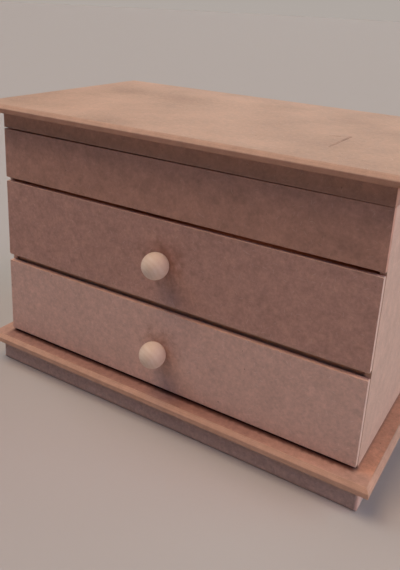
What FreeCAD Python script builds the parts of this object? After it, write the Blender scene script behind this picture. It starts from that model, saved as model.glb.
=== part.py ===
import FreeCAD, Part
import Sketcher
import math
import os
import re

# Cosmetic drawer box of thin fibreboard: a case on a plinth, two drawers and a hinged lid.
# Millimetres. +Z is up, the drawers open towards -Y, and the origin is the middle of the
# box's footprint, on the surface it stands on.

doc = FreeCAD.newDocument("cosmetic_drawer_box")
sheet = doc.addObject("Spreadsheet::Sheet", "Sizes")

# Driving sizes: alias, value and what it measures
driving_sizes = [
    ("body_width", 290.0, "outside width of the case and of the lid frame"),
    ("body_depth", 161.0, "outside depth of the case, fronts included"),
    ("case_board", 4.0, "thickness of the side, back, shelf and tray boards"),
    ("front_board", 4.0, "thickness of the drawer fronts and the panel above them"),
    ("base_plate_thickness", 6.0, "thickness of the plate under the case"),
    ("lid_plate_thickness", 6.0, "thickness of the plate on top of the lid"),
    ("plate_overhang", 12.5, "how far both plates stand out past the case"),
    ("plate_chamfer", 2.4, "bevel round the top edge of both plates"),
    ("plinth_height", 18.0, "height of the plinth under the base plate"),
    ("plinth_board", 6.0, "thickness of the plinth boards"),
    ("plinth_inset", 7.0, "how far the plinth stands in from the edge of the base plate"),
    ("plinth_round", 1.5, "rounding of the plinth's outer lower edges"),
    ("drawer_front_height", 60.0, "height of each drawer front"),
    ("bottom_gap", 2.0, "gap between a drawer front and the board its drawer runs on"),
    ("middle_gap", 5.0, "gap between the two drawer fronts"),
    ("upper_gap", 3.0, "gap between the upper drawer front and the panel above it"),
    ("front_side_gap", 0.3, "how far a drawer front stops short of the side of the case"),
    ("upper_panel_height", 37.2, "height of the fixed panel in front of the tray"),
    ("shelf_setback", 1.5, "how far the shelf lies behind the front edges of the sides"),
    ("skirt_board", 4.0, "thickness of the boards of the lid frame"),
    ("skirt_height", 13.8, "height of the lid frame at the hinges"),
    ("seam_back", 0.5, "seam between case and lid at the hinges"),
    ("seam_front_left", 1.1, "seam between case and lid at the front left corner"),
    ("seam_front_right", 0.3, "seam between case and lid at the front right corner"),
    ("drawer_board", 4.0, "thickness of the sides and back of a drawer"),
    ("drawer_bottom_board", 3.0, "thickness of a drawer bottom"),
    ("drawer_side_room", 0.8, "clearance between a drawer and the side of the case"),
    ("drawer_run_room", 0.3, "clearance under a drawer"),
    ("drawer_top_room", 3.7, "clearance between the lower drawer and the shelf over it"),
    ("drawer_back_room", 5.0, "clearance between a drawer and the back of the case"),
    ("knob_diameter", 18.5, "diameter of the ball knobs"),
    ("knob_seat_radius", 3.14, "radius of the flat on which a ball knob sits"),
    ("upper_knob_rise", 1.3, "how far the upper knob sits above the middle of its front"),
    ("knob_bore_end", 1.0, "depth of the knob's bore past the end of its screw"),
    ("knob_screw_radius", 1.75, "radius of the knob screw's shank"),
    ("knob_screw_grip", 9.0, "length of the knob screw inside the knob"),
    ("knob_screw_head_radius", 3.6, "radius of the knob screw's head"),
    ("knob_screw_head_height", 2.2, "height of the knob screw's head"),
    ("knob_screw_head_bevel", 1.1, "bevel of the knob screw's head, which leaves the rest of its rim upright"),
    ("knob_hole_room", 0.25, "radial clearance of the knob screw in the drawer front"),
    ("thread_room", 0.05, "radial clearance of a screw in the hole that holds it"),
    ("slot_width", 0.9, "width of the slot in a knob screw"),
    ("slot_depth", 1.0, "depth of the slot in a knob screw"),
    ("hinge_inset", 50.0, "distance from the side of the case to the middle of a hinge"),
    ("hinge_length", 25.0, "length of a hinge along its pin"),
    ("leaf_height", 11.5, "distance from the pin's centre to the free edge of a leaf"),
    ("leaf_thickness", 0.8, "thickness of a hinge leaf"),
    ("knuckle_radius", 1.5, "outside radius of a knuckle"),
    ("knuckle_room", 0.3, "clearance between the knuckles and the wood or the other leaf"),
    ("knuckle_gap", 0.1, "clearance between one knuckle and the next"),
    ("knuckle_count", 5, "number of knuckles on a hinge, the outer ones on the case"),
    ("pin_radius", 0.75, "radius of a hinge pin"),
    ("pin_room", 0.05, "radial running clearance of a hinge pin"),
    ("pin_head_radius", 1.1, "radius of the pin's two heads"),
    ("pin_head_height", 0.5, "height of the pin's two heads"),
    ("hinge_screw_spacing", 15.0, "distance between the two screws of a leaf"),
    ("hinge_screw_radius", 0.9, "radius of a hinge screw's shank"),
    ("hinge_screw_head_radius", 1.6, "radius of a hinge screw's countersunk head"),
    ("hinge_screw_length", 4.3, "length of a hinge screw, head included"),
    ("hinge_screw_point", 1.0, "length of the point of a hinge screw"),
    ("hinge_screw_end_radius", 0.2, "radius of the blunt end of a hinge screw's point"),
    ("hinge_slot_width", 0.4, "width of the slot in a hinge screw"),
    ("hinge_slot_depth", 0.3, "depth of the slot in a hinge screw"),
]
for row, (alias, value, note) in enumerate(driving_sizes, start=1):
    sheet.set(f"A{row}", note)
    sheet.set(f"B{row}", str(value))
    sheet.setAlias(f"B{row}", alias)
doc.recompute()

aliases = {alias for alias, value, note in driving_sizes}
pieces = []


def sized(text):
    """Turn a formula in the sizes' names into an expression that reads the sheet."""
    return re.sub(r"[a-z_]+", lambda word: "Sizes." + word[0] if word[0] in aliases else word[0], text)


def bind(item, **formulas):
    """Tie properties of a document object to formulas in the sizes' names."""
    for name, formula in formulas.items():
        item.setExpression(name, sized(formula))


def place(item, x="0", y="0", z="0"):
    """Tie the position of a document object to three formulas."""
    for axis, formula in zip("xyz", (x, y, z)):
        item.setExpression("Placement.Base." + axis, sized(formula))
    return item


def keep(item, label):
    """Name a finished sub-part and put it on the list of pieces."""
    item.Label = label
    pieces.append(item)
    return item


# Levels and lines that several pieces share
half_width = "(body_width / 2)"
knob_stand = "sqrt(knob_diameter ^ 2 / 4 - knob_seat_radius ^ 2)"
face_y = f"(({knob_stand} + knob_diameter / 2 - body_depth - plate_overhang) / 2)"
behind_front_y = f"({face_y} + front_board)"
back_y = f"({face_y} + body_depth)"
before_back_y = f"({back_y} - case_board)"
base_top_z = "(plinth_height + base_plate_thickness)"
lower_front_z = f"({base_top_z} + bottom_gap)"
upper_front_z = f"({lower_front_z} + drawer_front_height + middle_gap)"
shelf_top_z = f"({upper_front_z} - bottom_gap)"
upper_panel_z = f"({upper_front_z} + drawer_front_height + upper_gap)"
rim_z = f"({upper_panel_z} + upper_panel_height)"
lid_plate_z = f"({rim_z} + seam_back + skirt_height)"


def board(name, corner, extent):
    """A plain sawn board, from its lowest corner and its three lengths."""
    blank = doc.addObject("Part::Box", name)
    bind(blank, Length=extent[0], Width=extent[1], Height=extent[2])
    return place(blank, *corner)


def rod(name, radius, length, start, turn):
    """A round rod from its start point, along where turn points +Z."""
    blank = doc.addObject("Part::Cylinder", name)
    bind(blank, Radius=radius, Height=length)
    blank.Placement.Rotation = turn
    return place(blank, *start)


def cone(name, start_radius, end_radius, length, start, turn):
    """A cone frustum, placed as a rod is."""
    blank = doc.addObject("Part::Cone", name)
    bind(blank, Radius1=start_radius, Radius2=end_radius, Height=length)
    blank.Placement.Rotation = turn
    return place(blank, *start)


def joined(name, shapes):
    """Several solids glued or forged into one."""
    whole = doc.addObject("Part::MultiFuse", name)
    whole.Shapes = shapes
    whole.Refine = True
    return whole


def cut(name, blank, tool):
    """A blank with one tool's shape taken out of it."""
    result = doc.addObject("Part::Cut", name)
    result.Base = blank
    result.Tool = tool
    return result


def origin_part(body, role):
    """One of a body's own origin planes or axes."""
    return next(part for part in body.Origin.OriginFeatures if part.Role == role)


def sketch_on(body, name, plane):
    """An empty sketch on one of the body's own origin planes."""
    sketch = body.newObject("Sketcher::SketchObject", name)
    sketch.AttachmentSupport = [(origin_part(body, plane), "")]
    sketch.MapMode = "FlatFace"
    return sketch


def fix_point(sketch, line, end, x, y):
    """Tie one end of a sketch line to two formulas, measured from the sketch's origin."""
    drawn = sketch.getPoint(line, end)
    for kind, length, formula in (("DistanceX", drawn.x, x), ("DistanceY", drawn.y, y)):
        index = sketch.addConstraint(Sketcher.Constraint(kind, -1, 1, line, end, length))
        sketch.setExpression(f"Constraints[{index}]", sized(formula))


def polygon(sketch, corners):
    """A closed outline of straight lines through corners given as pairs of formulas."""
    count = len(corners)
    rough = [FreeCAD.Vector(math.cos(i * 2 * math.pi / count), math.sin(i * 2 * math.pi / count))
             for i in range(count)]
    for i in range(count):
        sketch.addGeometry(Part.LineSegment(rough[i], rough[(i + 1) % count]), False)
    for i in range(count):
        sketch.addConstraint(Sketcher.Constraint("Coincident", i, 2, (i + 1) % count, 1))
    for i, (x, y) in enumerate(corners):
        fix_point(sketch, i, 1, x, y)


def padded_body(name, plane, corners, thickness):
    """A body with one padded polygon; returns the body and its pad."""
    body = doc.addObject("PartDesign::Body", name)
    sketch = sketch_on(body, name + "_outline", plane)
    polygon(sketch, corners)
    pad = body.newObject("PartDesign::Pad", name + "_pad")
    pad.Profile = sketch
    bind(pad, Length=thickness)
    sketch.Visibility = False
    return body, pad


def edges_where(feature, test):
    """Names of a feature's edges whose middle point passes a test against the bounding box."""
    doc.recompute()
    box = feature.Shape.BoundBox
    names = []
    for number, edge in enumerate(feature.Shape.Edges, start=1):
        middle = (edge.Vertexes[0].Point + edge.Vertexes[-1].Point) / 2
        if test(middle, box):
            names.append(f"Edge{number}")
    return names


def near(first, second):
    """True where two lengths are the same to a ten-thousandth of a millimetre."""
    return abs(first - second) < 1e-4


def bevelled_plate(name, bottom_z, thickness):
    """A plate that stands out past the case all round, with its top edge bevelled."""
    reach = f"({half_width} + plate_overhang)"
    front = f"({face_y} - plate_overhang)"
    back = f"({back_y} + plate_overhang)"
    corners = [(f"-{reach}", front), (reach, front), (reach, back), (f"-{reach}", back)]
    body, pad = padded_body(name, "XY_Plane", corners, thickness)
    place(body, z=bottom_z)
    bevel = body.newObject("PartDesign::Chamfer", name + "_bevel")
    bevel.Base = (pad, edges_where(pad, lambda point, box: near(point.z, box.ZMax)))
    bind(bevel, Size="plate_chamfer")
    return keep(body, name)


def plinth_piece(name, low, high, outer_sides):
    """A plinth board between two plan corners, its lower edges rounded on the outer sides."""
    corners = [(low[0], low[1]), (high[0], low[1]), (high[0], high[1]), (low[0], high[1])]
    body, pad = padded_body(name, "XY_Plane", corners, "plinth_height")

    def outer_lower_edge(point, box):
        sides = {"left": near(point.x, box.XMin), "right": near(point.x, box.XMax),
                 "front": near(point.y, box.YMin), "back": near(point.y, box.YMax)}
        return near(point.z, box.ZMin) and any(sides[side] for side in outer_sides)

    rounding = body.newObject("PartDesign::Fillet", name + "_rounding")
    rounding.Base = (pad, edges_where(pad, outer_lower_edge))
    bind(rounding, Radius="plinth_round")
    return keep(body, name)


def lid_frame_board(name, plane, start, end, start_seam, end_seam, x="0", y="0"):
    """A board of the lid frame, whose lower edge runs from one seam width to another."""
    top = "(seam_back + skirt_height)"
    corners = [(start, start_seam), (end, end_seam), (end, top), (start, top)]
    body, pad = padded_body(name, plane, corners, "skirt_board")
    return place(body, x, y, rim_z)


# Plinth and base plate
plinth_x = f"({half_width} + plate_overhang - plinth_inset)"
plinth_front_y = f"({face_y} - plate_overhang + plinth_inset)"
plinth_back_y = f"({back_y} + plate_overhang - plinth_inset)"
plinth_piece("plinth_front", (f"-{plinth_x}", plinth_front_y),
             (plinth_x, f"({plinth_front_y} + plinth_board)"), ("left", "right", "front"))
plinth_piece("plinth_back", (f"-{plinth_x}", f"({plinth_back_y} - plinth_board)"),
             (plinth_x, plinth_back_y), ("left", "right", "back"))
for side, low_x, high_x in (("left", f"-{plinth_x}", f"(plinth_board - {plinth_x})"),
                            ("right", f"({plinth_x} - plinth_board)", plinth_x)):
    plinth_piece("plinth_" + side, (low_x, f"({plinth_front_y} + plinth_board)"),
                 (high_x, f"({plinth_back_y} - plinth_board)"), (side,))
bevelled_plate("base_plate", "plinth_height", "base_plate_thickness")

# Case: two sides, the back between them, the shelf, the tray floor and the fixed panel
side_depth = "(body_depth - front_board)"
side_height = f"({rim_z} - {base_top_z})"
keep(board("side_left", (f"-{half_width}", behind_front_y, base_top_z),
           ("case_board", side_depth, side_height)), "side_panel_left")
keep(board("side_right", (f"({half_width} - case_board)", behind_front_y, base_top_z),
           ("case_board", side_depth, side_height)), "side_panel_right")
inner_x = f"({half_width} - case_board)"
inner_width = f"(2 * {inner_x})"
back_blank = board("back_blank", (f"-{inner_x}", before_back_y, base_top_z),
                   (inner_width, "case_board", side_height))
keep(board("shelf", (f"-{inner_x}", f"({behind_front_y} + shelf_setback)", f"({shelf_top_z} - case_board)"),
           (inner_width, f"({side_depth} - shelf_setback - case_board)", "case_board")), "drawer_shelf")
keep(board("tray", (f"-{inner_x}", behind_front_y, upper_panel_z),
           (inner_width, f"({side_depth} - case_board)", "case_board")), "tray_floor")
keep(board("panel", (f"-{half_width}", face_y, upper_panel_z),
           ("body_width", "front_board", "upper_panel_height")), "upper_front_panel")

# Lid: a plate like the base plate on a low frame that stands on the rim of the case
bevelled_plate("lid_plate", lid_plate_z, "lid_plate_thickness")
keep(lid_frame_board("skirt_front", "XZ_Plane", f"-{half_width}", half_width, "seam_front_left",
                     "seam_front_right", y=f"{face_y} + skirt_board"), "lid_skirt_front")
skirt_back = lid_frame_board("skirt_back", "XZ_Plane", f"-{half_width}", half_width, "seam_back",
                             "seam_back", y=back_y)
for side, start_x, front_seam in (("left", f"-{half_width}", "seam_front_left"),
                                  ("right", f"({half_width} - skirt_board)", "seam_front_right")):
    keep(lid_frame_board("skirt_" + side, "YZ_Plane", f"({face_y} + skirt_board)",
                         f"({back_y} - skirt_board)", front_seam, "seam_back", x=start_x),
         "lid_skirt_" + side)

# Hinges: two small butt hinges on the outside of the back, with the pin level with the seam
to_the_right = FreeCAD.Rotation(FreeCAD.Vector(0, 1, 0), 90)
to_the_front = FreeCAD.Rotation(FreeCAD.Vector(1, 0, 0), 90)
hinge_y = f"({back_y} + knuckle_room + knuckle_radius)"
hinge_z = f"({rim_z} + seam_back / 2)"
leaf_face_y = f"({back_y} + leaf_thickness)"
knuckle_pitch = "(hinge_length / knuckle_count)"
barrel_reach = "(knuckle_radius + knuckle_room)"


def hinge_middles():
    """Name and middle of each hinge."""
    return (("hinge_left", f"(hinge_inset - {half_width})"), ("hinge_right", f"({half_width} - hinge_inset)"))


def screw_places(upward):
    """Name, x and z of each screw of the leaves on the lid (upward 1) or the case (upward -1)."""
    for hinge, middle in hinge_middles():
        for which, side in (("a", "-"), ("b", "+")):
            yield (hinge + "_" + which, f"({middle} {side} hinge_screw_spacing / 2)",
                   f"({hinge_z} + {upward} * (leaf_height + {barrel_reach}) / 2)")


def hinge_leaf(hinge, middle, leaf, upward, first_knuckle):
    """One leaf: its plate, every second knuckle, the pin's bore and two countersunk holes."""
    name = f"{hinge}_{leaf}"
    start_x = f"({middle} - hinge_length / 2)"
    plate_height = f"(leaf_height - {barrel_reach})"
    plate_z = f"({hinge_z} + {barrel_reach})" if upward > 0 else f"({hinge_z} - leaf_height)"
    tab_z = hinge_z if upward > 0 else f"({hinge_z} - {barrel_reach})"
    width = f"({knuckle_pitch} - knuckle_gap)"
    solids = [board(name + "_plate", (start_x, back_y, plate_z), ("hinge_length", "leaf_thickness", plate_height))]
    for index in range(first_knuckle, int(sheet.knuckle_count), 2):
        knuckle_x = f"({start_x} + {index} * {knuckle_pitch} + knuckle_gap / 2)"
        solids.append(board(f"{name}_tab_{index}", (knuckle_x, back_y, tab_z),
                            (width, "leaf_thickness", barrel_reach)))
        solids.append(rod(f"{name}_knuckle_{index}", "knuckle_radius", width,
                          (knuckle_x, hinge_y, hinge_z), to_the_right))
    bore = rod(name + "_bore", "pin_radius + pin_room", "hinge_length", (start_x, hinge_y, hinge_z), to_the_right)
    holes = [bore]
    for which, x, z in screw_places(upward):
        if which.startswith(hinge):
            holes.append(screw_tool(f"{name}_hole_{which[-1]}", x, z, "thread_room", "leaf_thickness"))
    keep(cut(name + "_drilled", joined(name + "_forged", solids), joined(name + "_holes", holes)), name)


def screw_tool(name, x, z, room, length):
    """The space of a countersunk screw, grown by room, from the leaf's face towards the front."""
    start = (x, leaf_face_y, z)
    head = cone(name + "_head", f"hinge_screw_head_radius + {room}", f"hinge_screw_radius + {room}",
                "hinge_screw_head_radius - hinge_screw_radius", start, to_the_front)
    shank = rod(name + "_shank", f"hinge_screw_radius + {room}", length, start, to_the_front)
    return joined(name, [head, shank])


def hinge_screw(name, x, z):
    """A small countersunk wood screw with a slotted head."""
    blank = screw_tool(name + "_body", x, z, "0", "hinge_screw_length - hinge_screw_point")
    tip = cone(name + "_point", "hinge_screw_radius", "hinge_screw_end_radius", "hinge_screw_point",
               (x, f"({leaf_face_y} - hinge_screw_length + hinge_screw_point)", z), to_the_front)
    slot = board(name + "_slot", (f"({x} - hinge_screw_head_radius)", f"({leaf_face_y} - hinge_slot_depth)",
                                  f"({z} - hinge_slot_width / 2)"),
                 ("2 * hinge_screw_head_radius", "hinge_slot_depth", "hinge_slot_width"))
    return cut(name, joined(name + "_blank", [blank, tip]), slot)


def hinge_screw_group(label, upward):
    """The four screws of the leaves on one side of the seam, as separate solids."""
    group = doc.addObject("Part::Compound", label + "_group")
    group.Links = [hinge_screw(f"{label}_{which}", x, z) for which, x, z in screw_places(upward)]
    keep(group, label)


def pilot_holes(name, blank, upward, label):
    """A board with the holes that the hinge screws bite into."""
    holes = [screw_tool(f"{name}_{which}", x, z, "thread_room", "hinge_screw_length + thread_room")
             for which, x, z in screw_places(upward)]
    keep(cut(name, blank, joined(name + "_tools", holes)), label)


def hinge_pin(name, middle):
    """A hinge pin with a flat head at each end."""
    start_x = f"({middle} - hinge_length / 2)"
    shank = rod(name + "_shank", "pin_radius", "hinge_length", (start_x, hinge_y, hinge_z), to_the_right)
    left = rod(name + "_left_head", "pin_head_radius", "pin_head_height",
               (f"({start_x} - pin_head_height)", hinge_y, hinge_z), to_the_right)
    right = rod(name + "_right_head", "pin_head_radius", "pin_head_height",
                (f"({middle} + hinge_length / 2)", hinge_y, hinge_z), to_the_right)
    keep(joined(name + "_forged", [shank, left, right]), name)


for hinge, middle in hinge_middles():
    hinge_leaf(hinge, middle, "case_leaf", -1, 0)
    hinge_leaf(hinge, middle, "lid_leaf", 1, 1)
    hinge_pin(hinge + "_pin", middle)
hinge_screw_group("hinge_screws_case", -1)
hinge_screw_group("hinge_screws_lid", 1)
pilot_holes("back_drilled", back_blank, -1, "back_panel")
pilot_holes("skirt_back_drilled", skirt_back, 1, "lid_skirt_back")


def ball_knob(name, center_z):
    """A turned ball with a flat seat on the drawer front and a blind bore for its screw."""
    body = doc.addObject("PartDesign::Body", name)
    sketch = sketch_on(body, name + "_profile", "XY_Plane")
    radius = sheet.knob_diameter / 2
    seat = sheet.knob_seat_radius
    stand = math.sqrt(radius ** 2 - seat ** 2)
    bore = sheet.knob_screw_radius + sheet.thread_room
    depth = sheet.knob_screw_grip + sheet.knob_bore_end
    center = FreeCAD.Vector(0, -stand)
    points = [FreeCAD.Vector(0, -stand - radius), FreeCAD.Vector(0, -depth), FreeCAD.Vector(bore, -depth),
              FreeCAD.Vector(bore, 0), FreeCAD.Vector(seat, 0)]
    for start, end in zip(points, points[1:]):
        sketch.addGeometry(Part.LineSegment(start, end), False)
    circle = Part.Circle(center, FreeCAD.Vector(0, 0, 1), radius)
    ball = sketch.addGeometry(Part.ArcOfCircle(circle, -math.pi / 2, math.atan2(stand, seat)), False)
    for line in range(3):
        sketch.addConstraint(Sketcher.Constraint("Coincident", line, 2, line + 1, 1))
    sketch.addConstraint(Sketcher.Constraint("Coincident", 3, 2, ball, 2))
    sketch.addConstraint(Sketcher.Constraint("Coincident", 0, 1, ball, 1))
    fix_point(sketch, ball, 3, "0", f"-{knob_stand}")
    fix_point(sketch, 1, 1, "0", "-(knob_screw_grip + knob_bore_end)")
    fix_point(sketch, 2, 1, "knob_screw_radius + thread_room", "-(knob_screw_grip + knob_bore_end)")
    fix_point(sketch, 3, 1, "knob_screw_radius + thread_room", "0")
    sketch.addConstraint(Sketcher.Constraint("Horizontal", 3))
    sketch.addConstraint(Sketcher.Constraint("Vertical", 0))
    size = sketch.addConstraint(Sketcher.Constraint("Radius", ball, radius))
    sketch.setExpression(f"Constraints[{size}]", sized("knob_diameter / 2"))
    turned = body.newObject("PartDesign::Revolution", name + "_turned")
    turned.Profile = sketch
    turned.ReferenceAxis = (sketch, ["V_Axis"])
    turned.Angle = 360
    sketch.Visibility = False
    place(body, y=face_y, z=center_z)
    keep(body, name)


def knob_screw(name, center_z):
    """A slotted pan-head screw from inside the drawer, through the front and into the knob."""
    body = doc.addObject("PartDesign::Body", name)
    sketch = sketch_on(body, name + "_profile", "XY_Plane")
    tip = "-(front_board + knob_screw_grip)"
    polygon(sketch, [("0", tip), ("knob_screw_radius", tip), ("knob_screw_radius", "0"),
                     ("knob_screw_head_radius", "0"),
                     ("knob_screw_head_radius", "knob_screw_head_height - knob_screw_head_bevel"),
                     ("knob_screw_head_radius - knob_screw_head_bevel", "knob_screw_head_height"),
                     ("0", "knob_screw_head_height")])
    turned = body.newObject("PartDesign::Revolution", name + "_turned")
    turned.Profile = sketch
    turned.ReferenceAxis = (sketch, ["V_Axis"])
    turned.Angle = 360
    slot = sketch_on(body, name + "_slot_outline", "XZ_Plane")
    reach = "(knob_screw_head_radius + slot_depth)"
    polygon(slot, [(f"-{reach}", "-slot_width / 2"), (reach, "-slot_width / 2"),
                   (reach, "slot_width / 2"), (f"-{reach}", "slot_width / 2")])
    slot.setExpression("AttachmentOffset.Base.z", sized("-knob_screw_head_height"))
    pocket = body.newObject("PartDesign::Pocket", name + "_slot")
    pocket.Profile = slot
    pocket.Reversed = True
    bind(pocket, Length="slot_depth")
    sketch.Visibility = False
    slot.Visibility = False
    place(body, y=behind_front_y, z=center_z)
    doc.recompute()
    if pocket.Shape.Volume >= turned.Shape.Volume:
        raise ValueError(f"{pocket.Name} cuts nothing")
    keep(body, name)


def drawer(name, front_z, run_z, knob_rise):
    """A drawer box behind an overlaid front, with its ball knob and the knob's screw."""
    outer_x = f"({inner_x} - drawer_side_room)"
    inside_x = f"({outer_x} - drawer_board)"
    box_z = f"({run_z} + drawer_run_room)"
    box_height = "(drawer_front_height + middle_gap - case_board - drawer_run_room - drawer_top_room)"
    end_y = f"({before_back_y} - drawer_back_room)"
    side_length = f"({end_y} - {behind_front_y})"
    knob_z = f"({front_z} + drawer_front_height / 2 + {knob_rise})"
    front_x = f"({half_width} - front_side_gap)"
    blank = board(name + "_front_blank", (f"-{front_x}", face_y, front_z),
                  (f"2 * {front_x}", "front_board", "drawer_front_height"))
    hole = rod(name + "_knob_hole", "knob_screw_radius + knob_hole_room", "front_board",
               ("0", behind_front_y, knob_z), to_the_front)
    keep(cut(name + "_front_drilled", blank, hole), name + "_front")
    for side, x in (("left", f"-{outer_x}"), ("right", inside_x)):
        keep(board(f"{name}_{side}", (x, behind_front_y, box_z),
                   ("drawer_board", side_length, box_height)), f"{name}_{side}_side")
    keep(board(name + "_rear", (f"-{inside_x}", f"({end_y} - drawer_board)", box_z),
               (f"2 * {inside_x}", "drawer_board", box_height)), name + "_back")
    keep(board(name + "_floor", (f"-{inside_x}", behind_front_y, box_z),
               (f"2 * {inside_x}", f"({side_length} - drawer_board)", "drawer_bottom_board")), name + "_bottom")
    ball_knob(name + "_knob", knob_z)
    knob_screw(name + "_knob_screw", knob_z)


drawer("lower_drawer", lower_front_z, base_top_z, "0")
drawer("upper_drawer", upper_front_z, shelf_top_z, "upper_knob_rise")

# Every object has to be sound before anything is written
doc.recompute()
for item in doc.Objects:
    if "Invalid" in item.State or "Error" in item.State:
        raise ValueError(f"{item.Name} did not build: {item.State}")
for piece in pieces:
    if piece.Shape.isNull() or not piece.Shape.isValid():
        raise ValueError(f"{piece.Label} has no valid shape")

os.makedirs("parts", exist_ok=True)
for piece in pieces:
    piece.Shape.exportStep(f"parts/{piece.Label}.step")
    print(piece.Label, len(piece.Shape.Solids), round(piece.Shape.Volume, 1))
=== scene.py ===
import math

import bmesh
import bpy
from mathutils import Euler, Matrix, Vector


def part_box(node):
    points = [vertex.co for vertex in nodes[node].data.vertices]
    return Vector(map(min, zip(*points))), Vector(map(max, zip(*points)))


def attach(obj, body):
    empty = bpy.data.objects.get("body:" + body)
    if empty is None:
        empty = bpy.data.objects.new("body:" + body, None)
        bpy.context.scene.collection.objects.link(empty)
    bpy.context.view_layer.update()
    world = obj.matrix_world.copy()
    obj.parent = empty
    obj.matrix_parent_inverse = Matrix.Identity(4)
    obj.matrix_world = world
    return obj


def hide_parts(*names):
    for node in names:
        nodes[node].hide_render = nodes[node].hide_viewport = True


# A raw fibreboard cosmetic box with two drawers and a hinged lid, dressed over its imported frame.
# Metres throughout, in the frame's own axes: the fronts look along -Y.

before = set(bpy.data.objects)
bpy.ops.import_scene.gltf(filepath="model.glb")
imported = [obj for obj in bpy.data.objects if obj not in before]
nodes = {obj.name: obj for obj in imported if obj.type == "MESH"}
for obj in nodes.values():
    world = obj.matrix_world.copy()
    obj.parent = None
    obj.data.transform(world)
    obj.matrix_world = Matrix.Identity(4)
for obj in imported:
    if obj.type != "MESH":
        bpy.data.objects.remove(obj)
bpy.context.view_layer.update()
mm = 0.001
sameSpot = 0.002 * mm       # points closer than this are one


class Wire:
    # One value in a node tree. Arithmetic on it adds Math nodes to the tree.

    def __init__(self, bench, socket):
        self.bench = bench
        self.socket = socket

    def maths(self, operation, *values):
        return self.bench.add("ShaderNodeMath", {"operation": operation}, dict(enumerate(values)))

    def __add__(self, other):
        return self.maths("ADD", self, other)

    def __sub__(self, other):
        return self.maths("SUBTRACT", self, other)

    def __rsub__(self, other):
        return self.maths("SUBTRACT", other, self)

    def __mul__(self, other):
        return self.maths("MULTIPLY", self, other)

    def __truediv__(self, other):
        return self.maths("DIVIDE", self, other)

    def __neg__(self):
        return self.maths("MULTIPLY", self, -1.0)

    def __abs__(self):
        return self.maths("ABSOLUTE", self)

    __radd__ = __add__
    __rmul__ = __mul__

    def ramp(self, low, high, atLow=0.0, atHigh=1.0):
        # Smooth step from one level to another as this value goes from low to high
        levels = {0: self, 1: low, 2: high, 3: atLow, 4: atHigh}
        return self.bench.add("ShaderNodeMapRange", {"interpolation_type": "SMOOTHSTEP"}, levels)

    def most(self, other):
        return self.maths("MAXIMUM", self, other)


class Bench:
    # A node tree being wired up: a material's, the world's or a Geometry Nodes group's.

    def __init__(self, tree):
        self.tree = tree
        tree.nodes.clear()

    def add(self, kind, settings=None, inputs=None, output=0):
        node = self.tree.nodes.new(kind)
        for name, value in (settings or {}).items():
            setattr(node, name, value)
        for name, value in (inputs or {}).items():
            for part in value if isinstance(value, list) else [value]:
                if isinstance(part, Wire):
                    self.tree.links.new(part.socket, node.inputs[name])
                elif part is not None:
                    node.inputs[name].default_value = part
        return Wire(self, node.outputs[output]) if len(node.outputs) else node

    def other(self, wire, output):
        # Another output of the node that a wire comes from
        return Wire(self, wire.socket.node.outputs[output])

    def mix(self, factor, first, second, blend="MIX"):
        settings = {"data_type": "RGBA", "blend_type": blend, "clamp_factor": True}
        return self.add("ShaderNodeMix", settings, {0: factor, 6: first, 7: second}, 2)

    def vector(self, operation, *values):
        return self.add("ShaderNodeVectorMath", {"operation": operation}, dict(enumerate(values)))

    def dyed(self, colour, factor):
        # A colour, or any vector, made larger or smaller by a number
        return self.add("ShaderNodeVectorMath", {"operation": "SCALE"}, {0: colour, "Scale": factor})

    def placed(self, vector, shift=(0, 0, 0), turn=(0, 0, 0), scale=(1, 1, 1)):
        radians = tuple(math.radians(angle) for angle in turn)
        values = {"Vector": vector, "Location": shift, "Rotation": radians, "Scale": scale}
        return self.add("ShaderNodeMapping", None, values)

    def noise(self, vector, scale, detail, roughness=0.5):
        values = {"Vector": vector, "Scale": scale, "Detail": detail, "Roughness": roughness}
        return self.add("ShaderNodeTexNoise", None, values)

    def cells(self, vector, scale):
        return self.add("ShaderNodeTexVoronoi", None, {"Vector": vector, "Scale": scale})

    def bump(self, height, strength, depth):
        return self.add("ShaderNodeBump", None, {"Height": height, "Strength": strength, "Distance": depth})

    def surface(self, values):
        shader = self.add("ShaderNodeBsdfPrincipled", None, values)
        self.add("ShaderNodeOutputMaterial", None, {"Surface": shader})


def newMaterial(name):
    material = bpy.data.materials.new(name)
    material.use_nodes = True
    return material, Bench(material.node_tree)


def link(name, data):
    thing = bpy.data.objects.new(name, data)
    bpy.context.scene.collection.objects.link(thing)
    return thing


# Camera: fitted to the photograph's edges, with the picture taken as 400 by 570
photo = {
    "width": 400,
    "height": 570,
    "focalPixels": 648.07,
    "middle": (197.62, 207.17),     # where the lens axis meets the picture
    "place": (0.22163, -0.40858, 0.29246),
    "turn": (71.795, -2.811, 31.675),       # degrees about X, Y and Z
}


def setUpCamera():
    longSide = max(photo["width"], photo["height"])
    lens = bpy.data.cameras.new("camera")
    lens.lens = photo["focalPixels"] / longSide * lens.sensor_width
    lens.shift_x = (photo["width"] / 2 - photo["middle"][0]) / longSide
    lens.shift_y = (photo["middle"][1] - photo["height"] / 2) / longSide
    lens.clip_start = 0.01
    camera = link("camera", lens)
    camera.location = photo["place"]
    camera.rotation_euler = Euler([math.radians(angle) for angle in photo["turn"]])
    bpy.context.scene.camera = camera


setUpCamera()
print("camera placed")

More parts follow.
